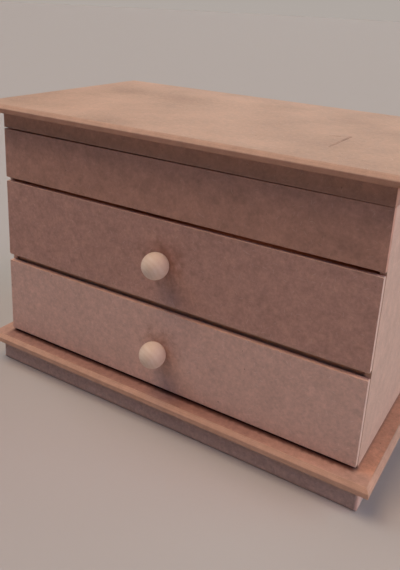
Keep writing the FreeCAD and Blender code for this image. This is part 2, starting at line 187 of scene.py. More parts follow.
# Studio: pale paper on the floor, soft light from the upper left and a window at the right
studio = {
    "floorRadius": 12.0,
    "floorColour": (0.47, 0.46, 0.47),
    "lights": {
        # name: way to the light, how soft (degrees), strength, colour
        "highLeft": ((-0.25, -0.25, 0.93), 40, 1.57, (1.0, 0.575, 0.20)),
        "overShoulder": ((-0.36, -0.385, 0.85), 60, 0.41, (0.0, 0.32, 1.0)),
        "left": ((-0.6, -0.1, 0.8), 40, 0.92, (0.79, 0.97, 1.0)),
        "window": ((0.93, 0.1, 0.3), 40, 1.67, (1.0, 0.77, 0.84)),
        "rearWindow": ((0.75, 0.6, 0.35), 40, 0.69, (0.52, 1.0, 0.98)),
        "rear": ((-0.3, 0.9, 0.3), 40, 0.56, (0.80, 0.98, 1.0)),
        "front": ((-0.2, -0.58, 0.78), 20, 0.10, (1.0, 0.9, 0.9)),
    },
    "backdrop": (0.430, 0.387, 0.357),
    # a faint light inside the upper drawer: place, size, watts, colour
    "stray": ((0, 0, 0.12), 5 * mm, 0.015, (1.0, 0.55, 0.40)),
}


def setUpStudio():
    shape = bmesh.new()
    bmesh.ops.create_circle(shape, cap_ends=True, segments=96, radius=studio["floorRadius"])
    mesh = bpy.data.meshes.new("floor")
    shape.to_mesh(mesh)
    shape.free()
    material, bench = newMaterial("floorPaper")
    paper = (*studio["floorColour"], 1.0)
    bench.surface({"Base Color": paper, "Roughness": 0.95, "Specular IOR Level": 0.1})
    mesh.materials.append(material)
    link("floor", mesh)
    for name, (direction, softness, strength, colour) in studio["lights"].items():
        sun = bpy.data.lights.new(name, "SUN")
        sun.angle = math.radians(softness)
        sun.energy = strength
        sun.color = colour
        link(name, sun).rotation_euler = Vector(direction).to_track_quat("Z", "Y").to_euler()
    place, size, power, colour = studio["stray"]
    glow = bpy.data.lights.new("stray", "POINT")
    glow.energy = power
    glow.color = colour
    glow.shadow_soft_size = size
    link("stray", glow).location = place
    world = bpy.data.worlds.new("studioAir")
    world.use_nodes = True
    bench = Bench(world.node_tree)
    dark = bench.add("ShaderNodeBackground", None, {"Color": (0, 0, 0, 1), "Strength": 0.0})
    backdrop = (*studio["backdrop"], 1)
    seen = bench.add("ShaderNodeBackground", None, {"Color": backdrop, "Strength": 1.0})
    ray = bench.add("ShaderNodeLightPath")
    both = bench.add("ShaderNodeMixShader", None, {0: ray, 1: dark, 2: seen})
    bench.add("ShaderNodeOutputWorld", None, {"Surface": both})
    bpy.context.scene.world = world
    bpy.context.scene.view_settings.view_transform = "Standard"


setUpStudio()
print("studio lit")

# Fibreboard: pressed faces with soft patches, short fibres and bark specks; cut edges with fine streaks
fibreboard = {
    "face": (0.515, 0.328, 0.246),
    "speck": (0.16, 0.085, 0.06),
    "fleck": (0.74, 0.60, 0.50),
    "patches": {     # how many a metre, how strong, and the value of the sheet that scales them
        "clouds": (17.0, 0.10, "broad"),
        "puffs": (45.0, 0.14, "cloudy"),
        "blotches": (110.0, 0.26, "cloudy"),
        "mottle": (250.0, 0.42, "fine"),
        "flecks": (560.0, 0.44, "fine"),
        "grain": (1300.0, 0.24, "fine"),
    },
    "specks": 120.0,         # places a metre where a speck of bark may lie
    "fibres": {      # places a metre, length, width, and the share of the places that hold one
        "dark": (330.0, 2.2 * mm, 0.16 * mm, 0.55),
        "pale": (210.0, 3.4 * mm, 0.17 * mm, 0.35),
        "long": (60.0, 6 * mm, 0.25 * mm, 0.12),
    },
    "fibreBend": 0.35,       # how strongly a fibre curves: 0 is straight
    "faceRoughness": 0.68,
    "cutRoughness": 0.86,
    "skin": 0.7 * mm,        # depth of the dense pressed skin, seen on a cut edge
}

# Sheets: colours of the faces and of the cut edges against plain board, and where they differ, of the lower
# half of an edge and of a board's two ends; where the pattern starts; how thick; how strong the patches
# are.
# The tints are partly the boards' own tone and partly painted light and shade: the skirt under the lid and
# the upper panel are made darker as painted shade, the lower front paler and the case sides and plinth
# cooler as painted light
sheets = {
    "lidSheet": {
        "face": (1.045, 1.09, 1.115), "cut": (1.13, 1.20, 1.25), "under": (0.82, 0.74, 0.74),
        "start": (0.0, 0.0, 0.0), "thick": 6 * mm, "broad": 6.5, "cloudy": 0.55, "fine": 0.50},
    "skirtSheet": {
        "face": (0.73, 0.65, 0.68), "cut": (0.85, 0.76, 0.76),
        "start": (0.7, 0.2, 0.1), "thick": 4 * mm, "broad": 1.0, "cloudy": 1.2, "fine": 0.8},
    "caseSheet": {
        "face": (1.07, 1.16, 1.25), "cut": (1.12, 1.19, 1.26),
        "start": (1.3, 0.5, 0.2), "thick": 4 * mm, "broad": 1.0, "cloudy": 1.1, "fine": 0.45},
    "upperPanelSheet": {
        "face": (0.90, 0.81, 0.86), "cut": (1.08, 0.98, 1.02),
        "start": (2.1, 0.9, 0.4), "thick": 4 * mm, "broad": 1.0, "cloudy": 1.35, "fine": 0.8},
    "upperFrontSheet": {
        "face": (0.96, 0.91, 1.04), "cut": (1.25, 1.38, 1.55), "end": (1.26, 1.46, 1.65),
        "start": (2.9, 1.3, 0.8), "thick": 4 * mm, "broad": 0.6, "cloudy": 1.0, "fine": 0.9},
    "lowerFrontSheet": {
        "face": (1.27, 1.37, 1.63), "cut": (1.36, 1.42, 1.56), "end": (1.26, 1.46, 1.65),
        "start": (3.7, 1.7, 1.1), "thick": 4 * mm, "broad": 0.6, "cloudy": 0.5, "fine": 0.75},
    "baseSheet": {
        "face": (0.93, 0.88, 0.94), "cut": (1.05, 1.05, 1.08),
        "start": (4.6, 2.2, 1.5), "thick": 6 * mm, "broad": 1.0, "cloudy": 1.2, "fine": 0.8},
    "plinthSheet": {
        "face": (1.02, 1.18, 1.45), "cut": (1.10, 1.22, 1.42),
        "start": (5.5, 2.7, 1.8), "thick": 6 * mm, "broad": 1.0, "cloudy": 1.0, "fine": 0.9},
    "insideSheet": {
        "face": (1.05, 1.05, 1.03), "cut": (1.20, 1.20, 1.15),
        "start": (6.3, 3.1, 2.3), "thick": 4 * mm, "broad": 1.0, "cloudy": 1.0, "fine": 1.0},
}

# Soft stains on a face: middle, half sizes and turn in the board's own two long ways, strength, colour
lidStains = [
    ((-0.112, 0.027), (0.018, 0.018), 10, 0.36, (0.80, 0.76, 0.72)),
    ((-0.062, 0.032), (0.032, 0.022), -5, 0.42, (0.80, 0.76, 0.72)),
    ((0.010, 0.050), (0.040, 0.022), 15, 0.22, (0.80, 0.76, 0.72)),
    ((0.0900, -0.0150), (0.005, 0.0016), 25, 0.40, (0.82, 0.78, 0.74)),
]
# painted shade: a soft dark ring on each drawer front round its knob's seat, where the knob shades the
# board: reach, strength, colour
knobSeatShade = {"reach": 0.016, "strength": 0.45, "colour": (0.66, 0.52, 0.44)}

# Two scratches in the lid, each a shallow round-bottomed groove
scratches = {
    "marks": [      # from and to, width at each end
        ((0.0956, -0.0506), (0.0958, -0.0129), 0.7 * mm, 2.2 * mm),
        ((0.0843, -0.0185), (0.0899, -0.0158), 0.9 * mm, 1.6 * mm),
    ],
    "depth": 0.16 * mm,
    "sway": 0.25 * mm,          # how far the middle line strays to one side
    "stain": (0.54, 0.46, 0.42),
    "rings": 9,                 # cross-sections along a scratch
    "sides": 6,                 # faces round its bottom
}

# Painted shade along the foot of the drawers, on the base, and painted bounce light on the strip of base at
# the right of the case
footShadeAndGlow = {
    # how far out from the fronts each painted shade ends and where it is full, and its colour
    "contactShade": (3.4 * mm, 0.0, (0.26, 0.17, 0.16)),
    "broadShade": (17 * mm, 4 * mm, (0.68, 0.62, 0.64)),
    # the broad painted shade thins out between these two places on the right, to this share of its strength
    "fades": (0.060, 0.125, 0.14),
    # painted light: how much paler the base is made beside the right side panel, as if lit by light thrown
    # back off the panel
    "paintedGlow": (1.34, 1.17, 1.02),
}


def shade(colour, factor):
    return (*[part * factor for part in colour], 1.0)


def tinted(colour, tint):
    return tuple(part * share for part, share in zip(colour, tint))


def patchwork(bench, place, sheet):
    # Uneven tone about 1, from thumb-sized clouds down to fine grain, and the layers that it is made of
    tone = 1.0
    layers = {}
    for title, (scale, strength, share) in fibreboard["patches"].items():
        layers[title] = bench.noise(place, scale, 1.0, 0.5) - 0.5
        tone = layers[title] * (strength * sheet[share]) + tone
    return tone, layers


def shortFibres(bench, runs, perMetre, length, width, share):
    # One short bent fibre in some of the cells of a flat pattern, at every angle
    flat = {"voronoi_dimensions": "2D"}
    cells = bench.add("ShaderNodeTexVoronoi", flat, {"Vector": runs, "Scale": perMetre})
    lots = bench.add("ShaderNodeSeparateColor", None, {0: bench.other(cells, 1)})
    away = bench.vector("SUBTRACT", runs, bench.other(cells, 2))
    offset = bench.add("ShaderNodeSeparateXYZ", None, {0: away})
    side = bench.other(offset, 1)
    angle = lots * math.tau
    cosine = angle.maths("COSINE", angle)
    sine = angle.maths("SINE", angle)
    along = offset * cosine + side * sine
    across = side * cosine - offset * sine + along * along * (fibreboard["fibreBend"] / length)
    body = abs(across).ramp(width, width * 0.4) * abs(along).ramp(length * 0.5, length * 0.3)
    return body * bench.other(lots, 1).ramp(1 - share, 1 - share * 0.5)


def nearLine(bench, runs, start, end):
    # Distance of a spot from a line, and the share of the line's length at the nearest place
    first = Vector((*start, 0))
    line = Vector((*end, 0)) - first
    moved = bench.vector("SUBTRACT", runs, first)
    dot = bench.add("ShaderNodeVectorMath", {"operation": "DOT_PRODUCT"}, {0: moved, 1: line}, 1)
    clamped = {"operation": "DIVIDE", "use_clamp": True}
    share = bench.add("ShaderNodeMath", clamped, {0: dot, 1: line.length_squared})
    nearest = bench.dyed(line, share)
    gap = bench.add("ShaderNodeVectorMath", {"operation": "DISTANCE"}, {0: moved, 1: nearest}, 1)
    return gap, share


def stainedAndShaded(bench, colour, runs, stainsAndShade, wobble):
    # each entry is a real stain, or round a knob, painted shade
    for middle, half, turn, strength, stain in stainsAndShade:
        # The pattern is moved so that the stain is at zero, then squeezed to a unit circle
        moved = bench.vector("SUBTRACT", runs, (*middle, 0))
        turned = bench.placed(moved, turn=(0, 0, -turn))
        scaled = bench.placed(turned, scale=(1 / half[0], 1 / half[1], 0))
        away = bench.add("ShaderNodeVectorMath", {"operation": "LENGTH"}, {0: scaled}, 1)
        mask = (away + wobble * 1.4).ramp(1.4, 0.1) * strength
        colour = bench.mix(mask, colour, (*stain, 1.0), "MULTIPLY")
    return colour


def pressedFace(name, sheet, stainsAndShade=(), extra=None):
    material, bench = newMaterial(name)
    spot = bench.add("ShaderNodeTexCoord", None, None, 3)
    runs = bench.add("ShaderNodeUVMap", {"uv_map": "run"})
    place = bench.placed(spot, shift=sheet["start"])
    base = tinted(fibreboard["face"], sheet["face"])
    tone, layers = patchwork(bench, place, sheet)
    mottle, grain = layers["mottle"], layers["grain"]
    colour = bench.dyed(base, tone)
    speckCells = bench.cells(place, fibreboard["specks"])
    speckLot = bench.add("ShaderNodeSeparateColor", None, {0: bench.other(speckCells, 1)})
    speckSize = speckLot * 0.06 + 0.02 + grain * 0.08
    specks = (speckSize - speckCells).ramp(-0.01, 0.03) * bench.other(speckLot, 1).ramp(0.60, 0.66)
    colour = bench.mix(specks * 0.55, colour, (*fibreboard["speck"], 1.0))
    fibres = fibreboard["fibres"]
    shifted = bench.vector("ADD", runs, (*sheet["start"][:2], 0))
    dark = shortFibres(bench, shifted, *fibres["dark"])
    colour = bench.mix(dark * 0.30, colour, shade(base, 0.55))
    apart = bench.vector("ADD", shifted, (0.013, 0.021, 0))
    pale = shortFibres(bench, shifted, *fibres["pale"]).most(shortFibres(bench, apart, *fibres["long"]))
    colour = bench.mix(pale * 0.42, colour, (*tinted(fibreboard["fleck"], sheet["face"]), 1.0))
    colour = stainedAndShaded(bench, colour, runs, stainsAndShade, mottle)
    if extra:
        colour = extra(bench, colour, runs, mottle)
    height = grain * 0.5 + pale * 0.5 + mottle * 0.3 + layers["flecks"] * 0.4 - specks * 0.5 - dark * 0.3
    rough = fibreboard["faceRoughness"] + mottle * 0.22 + pale * 0.1 + layers["blotches"] * 0.1
    bench.surface({"Base Color": colour, "Roughness": rough, "Specular IOR Level": 0.35,
                   "Normal": bench.bump(height, 0.30, 0.12 * mm)})
    return material


def scratchedLid(bench, colour, runs, wobble):
    for start, end, startWidth, endWidth in scratches["marks"]:
        gap, share = nearLine(bench, runs, start, end)
        half = share * ((endWidth - startWidth) / 2) + startWidth / 2
        mask = (gap / half + wobble * 0.8).ramp(1.5, 0.7)
        colour = bench.mix(mask * 0.85, colour, (*scratches["stain"], 1.0), "MULTIPLY")
    return colour


def paintFootShadeAndGlow(bench, colour, runs, wobble):
    both = bench.add("ShaderNodeSeparateXYZ", None, {0: runs})
    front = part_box("lower_drawer_front")[0].y
    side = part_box("side_panel_right")[1].x
    # painted shade: the base darkened along the foot of the fronts and under them, a narrow dark band for
    # their contact shadow and a broad one for the shade of the box above
    out = (front - bench.other(both, 1)) + wobble * (2 * mm)
    under = abs(both).ramp(side + 2 * mm, side - 3 * mm)
    fadeStart, fadeEnd, left = footShadeAndGlow["fades"]
    shares = {"contactShade": under, "broadShade": under * both.ramp(fadeStart, fadeEnd, 1.0, left)}
    for title, share in shares.items():
        end, full, stain = footShadeAndGlow[title]
        colour = bench.mix(out.ramp(end, full) * share, colour, (*stain, 1.0), "MULTIPLY")
    # painted light: the strip of base beside the right side panel made paler, as if lit by light thrown
    # back off the panel
    paintedGlow = bench.mix(1.0, colour, (*footShadeAndGlow["paintedGlow"], 1.0), "MULTIPLY")
    beside = both.ramp(side - 1 * mm, side + 2 * mm) * out.ramp(5 * mm, -7 * mm)
    return bench.mix(beside, colour, paintedGlow)


def cutEdge(name, sheet):
    # Reads the piece's own map: along the edge, and across the board's thickness from its middle
    material, bench = newMaterial(name)
    runs = bench.add("ShaderNodeUVMap", {"uv_map": "run"})
    across = bench.other(bench.add("ShaderNodeSeparateXYZ", None, {0: runs}), 1)
    base = tinted(fibreboard["face"], sheet["cut"])
    under = tinted(fibreboard["face"], sheet.get("under", sheet["cut"]))
    end = tinted(fibreboard["face"], sheet.get("end", sheet["cut"]))
    normal = bench.add("ShaderNodeNewGeometry", None, None, "True Normal")
    sideways = abs(bench.add("ShaderNodeSeparateXYZ", None, {0: normal}))
    # painted shade: where a sheet gives an under colour, the lower half of the edge takes it, darker than
    # the upper half
    board = bench.mix(across.ramp(0.25 * mm, -0.25 * mm), (*base, 1.0), (*under, 1.0))
    # painted light: where a sheet gives an end colour, faces looking sideways, the board's two ends, take
    # it, paler and cooler as if lit from the side
    board = bench.mix(sideways.ramp(0.6, 0.8), board, (*end, 1.0))
    place = bench.placed(runs, shift=sheet["start"])
    streaks = bench.noise(bench.placed(place, scale=(40, 1300, 1)), 1.0, 3.0, 0.6) - 0.5
    threads = bench.noise(bench.placed(place, scale=(420, 4600, 1)), 1.0, 2.0, 0.6) - 0.5
    clouds = bench.noise(place, 120.0, 3.0, 0.6) - 0.5
    fuzz = bench.noise(place, 1500.0, 3.0, 0.7) - 0.5
    half = sheet["thick"] / 2
    skin = abs(across).ramp(half - fibreboard["skin"], half - 0.15 * mm)
    tone = streaks * 0.32 + threads * 0.22 + fuzz * 0.30 + clouds * 0.42 + 1.0 - skin * 0.06
    colour = bench.dyed(board, tone)
    chips = bench.cells(place, 900.0).ramp(0.12, 0.04)
    colour = bench.mix(chips * 0.3, colour, shade(base, 0.5))
    height = threads * 0.7 + fuzz * 0.8 + streaks * 0.4 - chips * 0.3
    rough = fibreboard["cutRoughness"] + fuzz * 0.15
    bench.surface({"Base Color": colour, "Roughness": rough, "Specular IOR Level": 0.2,
                   "Normal": bench.bump(height, 0.4, 0.15 * mm)})
    return material


def shadeRoundKnob(drawerName):
    # painted shade round the knob's seat, on the front
    low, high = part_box(drawerName + "_knob")
    middle = ((low.x + high.x) / 2, (low.z + high.z) / 2)
    half = (knobSeatShade["reach"], knobSeatShade["reach"])
    return [(middle, half, 0, knobSeatShade["strength"], knobSeatShade["colour"])]


stainsAndShade = {
    "lidSheet": lidStains,
    "upperFrontSheet": shadeRoundKnob("upper_drawer"),
    "lowerFrontSheet": shadeRoundKnob("lower_drawer"),
}
extras = {"lidSheet": scratchedLid, "baseSheet": paintFootShadeAndGlow}
finishes = {}
for sheetName, sheet in sheets.items():
    face = pressedFace(sheetName + "Face", sheet, stainsAndShade.get(sheetName, ()), extras.get(sheetName))
    finishes[sheetName] = (face, cutEdge(sheetName + "Cut", sheet))
print("fibreboard finishes:", len(finishes))

# Boards: each keeps its node's shape, with its arrises eased as with fine paper
boards = {
    # node: body, sheet, how far the arrises are eased
    "lid_plate": ("lid", "lidSheet", 0.3 * mm),
    "lid_skirt_front": ("lid", "skirtSheet", 0.15 * mm),
    "lid_skirt_back": ("lid", "skirtSheet", 0.15 * mm),
    "lid_skirt_left": ("lid", "skirtSheet", 0.15 * mm),
    "lid_skirt_right": ("lid", "skirtSheet", 0.15 * mm),
    "side_panel_left": ("case", "caseSheet", 0.06 * mm),
    "side_panel_right": ("case", "caseSheet", 0.06 * mm),
    "back_panel": ("case", "insideSheet", 0.2 * mm),
    "drawer_shelf": ("case", "insideSheet", 0.2 * mm),
    "tray_floor": ("case", "insideSheet", 0.2 * mm),
    "upper_front_panel": ("case", "upperPanelSheet", 0.15 * mm),
    "base_plate": ("case", "baseSheet", 0.3 * mm),
    "plinth_front": ("case", "plinthSheet", 0.4 * mm),
    "plinth_back": ("case", "plinthSheet", 0.4 * mm),
    "plinth_left": ("case", "plinthSheet", 0.4 * mm),
    "plinth_right": ("case", "plinthSheet", 0.4 * mm),
}
for drawerName, frontSheet in (("upper_drawer", "upperFrontSheet"), ("lower_drawer", "lowerFrontSheet")):
    boards[drawerName + "_front"] = (drawerName, frontSheet, 0.14 * mm)
    for part in ("back", "bottom", "left_side", "right_side"):
        boards[drawerName + "_" + part] = (drawerName, "insideSheet", 0.2 * mm)

# Edges worn rounder than the rest: the side of the board that they lie at on each axis (0: any place), and
# their radius
wornCorners = {
    "upper_drawer_front": [((0, -1, -1), 0.9 * mm), ((1, 0, -1), 1.8 * mm), ((1, 0, 1), 0.7 * mm)],
    "lower_drawer_front": [((0, -1, -1), 0.5 * mm), ((1, 0, -1), 0.7 * mm), ((1, 0, 1), 0.8 * mm)],
    "upper_front_panel": [((0, -1, -1), 0.8 * mm)],
    "lid_plate": [((0, 0, 1), 0.9 * mm)],
    "plinth_front": [((1, -1, 0), 2.4 * mm), ((-1, -1, 0), 2.4 * mm), ((0, -1, -1), 1.0 * mm)],
    "plinth_right": [((1, 0, -1), 1.0 * mm), ((1, 1, 0), 2.0 * mm)],
    "plinth_left": [((-1, 0, -1), 1.0 * mm), ((-1, 1, 0), 2.0 * mm)],
    "plinth_back": [((0, 1, -1), 1.0 * mm)],
}
boardBends = 2              # faces round an eased arris
cornerBends = 5             # faces round a worn corner
sharpAngle = 25             # degrees: a flatter edge isn't an arris
atSide = 0.1 * mm           # an edge within this of a side of the board lies at that side
holeMargin = 2.5 * mm       # an edge further in than this on both ways belongs to a hole
hiddenStart = 1.0           # where a hidden face's pattern starts, so that stains stay on one face


def mergedShape(nodeName):
    shape = bmesh.new()
    shape.from_mesh(nodes[nodeName].data)
    bmesh.ops.remove_doubles(shape, verts=shape.verts, dist=sameSpot)
    bmesh.ops.dissolve_limit(shape, angle_limit=math.radians(0.5), verts=shape.verts, edges=shape.edges)
    return shape


def roundOff(shape, edges, width, bends):
    made = bmesh.ops.bevel(shape, geom=edges, offset=width, segments=bends, profile=0.5,
                           affect="EDGES", clamp_overlap=True)
    for face in made["faces"]:
        face.smooth = True


def wearCorners(shape, low, high, corners):
    for sides, radius in corners:
        ends = [(axis, high[axis] if side > 0 else low[axis]) for axis, side in enumerate(sides) if side]
        worn = []
        for edge in shape.edges:
            if all(abs(corner.co[axis] - end) < atSide for corner in edge.verts for axis, end in ends):
                worn.append(edge)
        roundOff(shape, worn, radius, cornerBends)


def easeArrises(shape, low, high, thin, width):
    wide = [axis for axis in range(3) if axis != thin]

    def inHole(edge):
        return all(low[axis] + holeMargin < corner.co[axis] < high[axis] - holeMargin
                   for corner in edge.verts for axis in wide)

    arrises = []
    for edge in shape.edges:
        if edge.is_manifold and edge.calc_face_angle() > math.radians(sharpAngle) and not inHole(edge):
            arrises.append(edge)
    roundOff(shape, arrises, width, boardBends)


def bridge(shape, rings):
    # Faces between each ring of corners and the next
    for one, two in zip(rings, rings[1:]):
        for number in range(len(one)):
            after = (number + 1) % len(one)
            shape.faces.new((one[number], one[after], two[after], two[number]))


def scratchCutter(start, end, startWidth, endWidth, top):
    # A round-bottomed bar, pinched at both ends, that stands 1 mm out of the lid
    first = Vector((*start, top))
    last = Vector((*end, top))
    side = (last - first).normalized().cross(Vector((0, 0, 1)))
    sides = scratches["sides"]
    depth = scratches["depth"]
    angles = [math.pi * (1 + number / sides) for number in range(sides + 1)]
    shape = bmesh.new()
    rings = []
    for step in range(scratches["rings"]):
        share = step / (scratches["rings"] - 1)
        pinch = math.sin(math.pi * (0.06 + 0.88 * share)) ** 0.3
        half = (startWidth + (endWidth - startWidth) * share) / 2 * pinch
        middle = first.lerp(last, share) + side * (scratches["sway"] * math.sin(3.0 * share))
        points = [middle + side * half * math.cos(angle) + Vector((0, 0, depth * math.sin(angle)))
                  for angle in angles]
        points += [middle + side * half * way + Vector((0, 0, 1 * mm)) for way in (1, -1)]
        rings.append([shape.verts.new(point) for point in points])
    bridge(shape, rings)
    shape.faces.new(rings[0])
    shape.faces.new(rings[-1])
    bmesh.ops.recalc_face_normals(shape, faces=shape.faces)
    mesh = bpy.data.meshes.new("scratchCutter")
    shape.to_mesh(mesh)
    shape.free()
    return mesh


def cutScratches(mesh, top):
    for mark in scratches["marks"]:
        tool = link("scratchCutter", scratchCutter(*mark, top))
        board = link("scratchedBoard", mesh)
        cut = board.modifiers.new("scratch", "BOOLEAN")
        cut.operation = "DIFFERENCE"
        cut.object = tool
        graph = bpy.context.evaluated_depsgraph_get()
        mesh = bpy.data.meshes.new_from_object(board.evaluated_get(graph), depsgraph=graph)
        bpy.data.objects.remove(board)
        bpy.data.objects.remove(tool)
    return mesh


def mapRuns(shape, low, high, thin):
    # Along the edge's own run and across the thickness; on the pressed faces, the two long ways
    layer = shape.loops.layers.uv.new("run")
    wide = [axis for axis in range(3) if axis != thin]
    middle = (low[thin] + high[thin]) / 2
    shows = -1 if thin == 1 else 1      # a front shows its -Y face, a plate its top
    for face in shape.faces:
        pressed = abs(face.normal[thin]) > 0.98
        face.material_index = 0 if pressed else 1
        run = wide[0] if abs(face.normal[wide[1]]) > abs(face.normal[wide[0]]) else wide[1]
        for loop in face.loops:
            spot = loop.vert.co
            if pressed:
                start = 0.0 if face.normal[thin] * shows > 0 else hiddenStart
                loop[layer].uv = (start + spot[wide[0]], spot[wide[1]])
            else:
                loop[layer].uv = (spot[run], spot[thin] - middle)


def makeBoard(nodeName, body, sheetName, easing):
    low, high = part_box(nodeName)
    size = [top - bottom for bottom, top in zip(low, high)]
    thin = size.index(min(size))
    shape = mergedShape(nodeName)
    wearCorners(shape, low, high, wornCorners.get(nodeName, ()))
    easeArrises(shape, low, high, thin, easing)
    mesh = bpy.data.meshes.new(nodeName + "_board")
    if nodeName == "lid_plate":
        shape.to_mesh(mesh)
        mesh = cutScratches(mesh, high.z)
        shape.clear()
        shape.from_mesh(mesh)
        mesh.materials.clear()
    mapRuns(shape, low, high, thin)
    shape.to_mesh(mesh)
    shape.free()
    for finish in finishes[sheetName]:
        mesh.materials.append(finish)
    piece = link(nodeName + "_board", mesh)
    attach(piece, body)
    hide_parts(nodeName)


for nodeName, values in boards.items():
    makeBoard(nodeName, *values)
print("boards eased:", len(boards))

# Knobs: turned wooden balls, each on its small flat seat
knob = {
    "around": 96,
    "along": 56,
    "toolMark": 0.007 * mm,     # height of the faint rings left by the turning
    "toolMarks": 34,
    "frontFlat": 0.9 * mm,      # where the ball was parted off
    "pores": {                  # way from the ball's middle, radius, depth
        "upper_drawer": [
            ((-0.52, -0.80, -0.30), 0.70 * mm, 0.28 * mm),
            ((0.35, -0.55, 0.76), 0.45 * mm, 0.10 * mm),
        ],
        "lower_drawer": [((0.42, -0.86, 0.22), 0.45 * mm, 0.12 * mm)],
    },
    "colour": (0.79, 0.66, 0.575),
    "late": (0.66, 0.50, 0.38),
    "pore": (0.40, 0.25, 0.16),
    # painted shade on the ball near its seat
    "seatShade": (0.60, 0.47, 0.38),
}


def knobFinish(name, middle, seat):
    material, bench = newMaterial(name)
    spot = bench.add("ShaderNodeTexCoord", None, None, 3)
    place = bench.vector("SUBTRACT", spot, middle)
    # The ball's axis runs along the grain, so the year rings are tubes about a line beside that axis
    grain = bench.placed(place, shift=(0.0031, 0, 0.0046), turn=(6, 0, 4), scale=(1.0, 0.18, 1.0))
    drift = bench.noise(grain, 160.0, 2.0) - 0.5
    wave = {"Vector": grain, "Scale": 130.0, "Distortion": 2.2, "Detail": 2.0, "Detail Scale": 1.4}
    rings = bench.add("ShaderNodeTexWave", {"wave_type": "RINGS", "rings_direction": "Y"}, wave)
    threads = bench.noise(bench.placed(place, scale=(1, 0.3, 1)), 2400.0, 3.0, 0.65) - 0.5
    pores = bench.cells(bench.placed(place, scale=(1, 0.25, 1)), 950.0).ramp(0.15, 0.06)
    tone = rings * 0.26 + drift * 0.9 + threads * 0.7 + 0.12
    colour = bench.mix(tone, (*knob["colour"], 1.0), (*knob["late"], 1.0))
    colour = bench.mix(pores * 0.30, colour, (*knob["pore"], 1.0))
    depth = bench.other(bench.add("ShaderNodeSeparateXYZ", None, {0: spot}), 1)
    # painted shade: the ball darker towards its seat, where it meets the front
    nearSeat = (depth + drift * (3 * mm)).ramp(seat - 4 * mm, seat + 0.5 * mm)
    colour = bench.mix(nearSeat, colour, (*knob["seatShade"], 1.0), "MULTIPLY")
    height = threads * 0.6 - pores * 0.6 + rings * 0.10
    rough = 0.50 + threads * 0.2 + pores * 0.2
    bench.surface({"Base Color": colour, "Roughness": rough, "Specular IOR Level": 0.4,
                   "Normal": bench.bump(height, 0.22, 0.06 * mm)})
    return material


def makeKnob(drawerName):
    nodeName = drawerName + "_knob"
    low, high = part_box(nodeName)
    radius = (high[0] - low[0]) / 2
    middle = Vector(((low[0] + high[0]) / 2, low[1] + radius, (low[2] + high[2]) / 2))
    seatAngle = math.acos((high[1] - middle.y) / radius)        # from the back pole to the seat's rim
    start = math.asin(knob["frontFlat"] / radius)
    turns = [math.tau * number / knob["around"] for number in range(knob["around"])]
    shape = bmesh.new()
    loops = []
    for step in range(knob["along"] + 1):
        share = step / knob["along"]
        angle = start + (math.pi - seatAngle - start) * share
        ripple = knob["toolMark"] * math.sin(knob["toolMarks"] * angle) * math.sin(math.pi * share)
        reach = radius if step == knob["along"] else radius - knob["toolMark"] + ripple
        wide = math.sin(angle)
        ways = [Vector((wide * math.cos(turn), -math.cos(angle), wide * math.sin(turn))) for turn in turns]
        loops.append([shape.verts.new(middle + reach * way) for way in ways])
    bridge(shape, loops)
    for face in shape.faces:
        face.smooth = True
    shape.faces.new(loops[0])
    shape.faces.new(loops[-1])
    for way, poreRadius, depth in knob["pores"][drawerName]:
        mouth = middle + Vector(way).normalized() * radius
        for corner in shape.verts:
            away = (corner.co - mouth).length / poreRadius
            if away < 1.0:
                corner.co += (middle - corner.co).normalized() * depth * (1 - away * away) ** 2
    bmesh.ops.recalc_face_normals(shape, faces=shape.faces)
    mesh = bpy.data.meshes.new(nodeName + "_turned")
    shape.to_mesh(mesh)
    shape.free()
    mesh.materials.append(knobFinish(drawerName + "KnobWood", middle, high[1]))
    piece = link(nodeName + "_turned", mesh)
    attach(piece, drawerName)
    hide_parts(nodeName)


for drawerName in ("upper_drawer", "lower_drawer"):
    makeKnob(drawerName)
print("knobs turned")

# Metal: satin brass for the hinges and their screws, zinc plate for the knob screws
metal = {
    "brass": ((0.78, 0.56, 0.26), 0.34),
    "zinc": ((0.70, 0.71, 0.72), 0.30),
}


def metalFinish(name, colour, roughness):
    material, bench = newMaterial(name)
    spot = bench.add("ShaderNodeTexCoord", None, None, 3)
    brushed = bench.noise(bench.placed(spot, scale=(0.06, 1, 1)), 5200.0, 3.0, 0.6) - 0.5
    tarnish = bench.noise(spot, 240.0, 4.0, 0.6) - 0.5
    nicks = bench.noise(spot, 900.0, 4.0, 0.7).ramp(0.60, 0.72)
    coat = bench.dyed(colour, tarnish * 0.5 + brushed * 0.2 + 0.92)
    rough = roughness + tarnish * 0.25 + brushed * 0.18 + nicks * 0.1
    height = brushed * 0.6 - nicks * 0.5
    bench.surface({"Base Color": coat, "Metallic": 1.0, "Roughness": rough,
                   "Normal": bench.bump(height, 0.25, 0.04 * mm)})
    return material


brass = metalFinish("satinBrass", *metal["brass"])
zinc = metalFinish("zincPlate", *metal["zinc"])
for name, node in nodes.items():
    if name.startswith("hinge"):
        node.data.materials.clear()
        node.data.materials.append(brass)
print("hinges plated")


def newGrower(name, sizes):
    # A Geometry Nodes group with one named input for each size, and wires from those inputs
    tree = bpy.data.node_groups.new(name, "GeometryNodeTree")
    tree.interface.new_socket("Geometry", in_out="INPUT", socket_type="NodeSocketGeometry")
    tree.interface.new_socket("Geometry", in_out="OUTPUT", socket_type="NodeSocketGeometry")
    for title, value in sizes.items():
        kind = "NodeSocketInt" if isinstance(value, int) else "NodeSocketFloat"
        tree.interface.new_socket(title, in_out="INPUT", socket_type=kind)
    bench = Bench(tree)
    source = bench.add("NodeGroupInput")
    wires = {title: bench.other(source, title) for title in sizes}
    return bench, source, wires


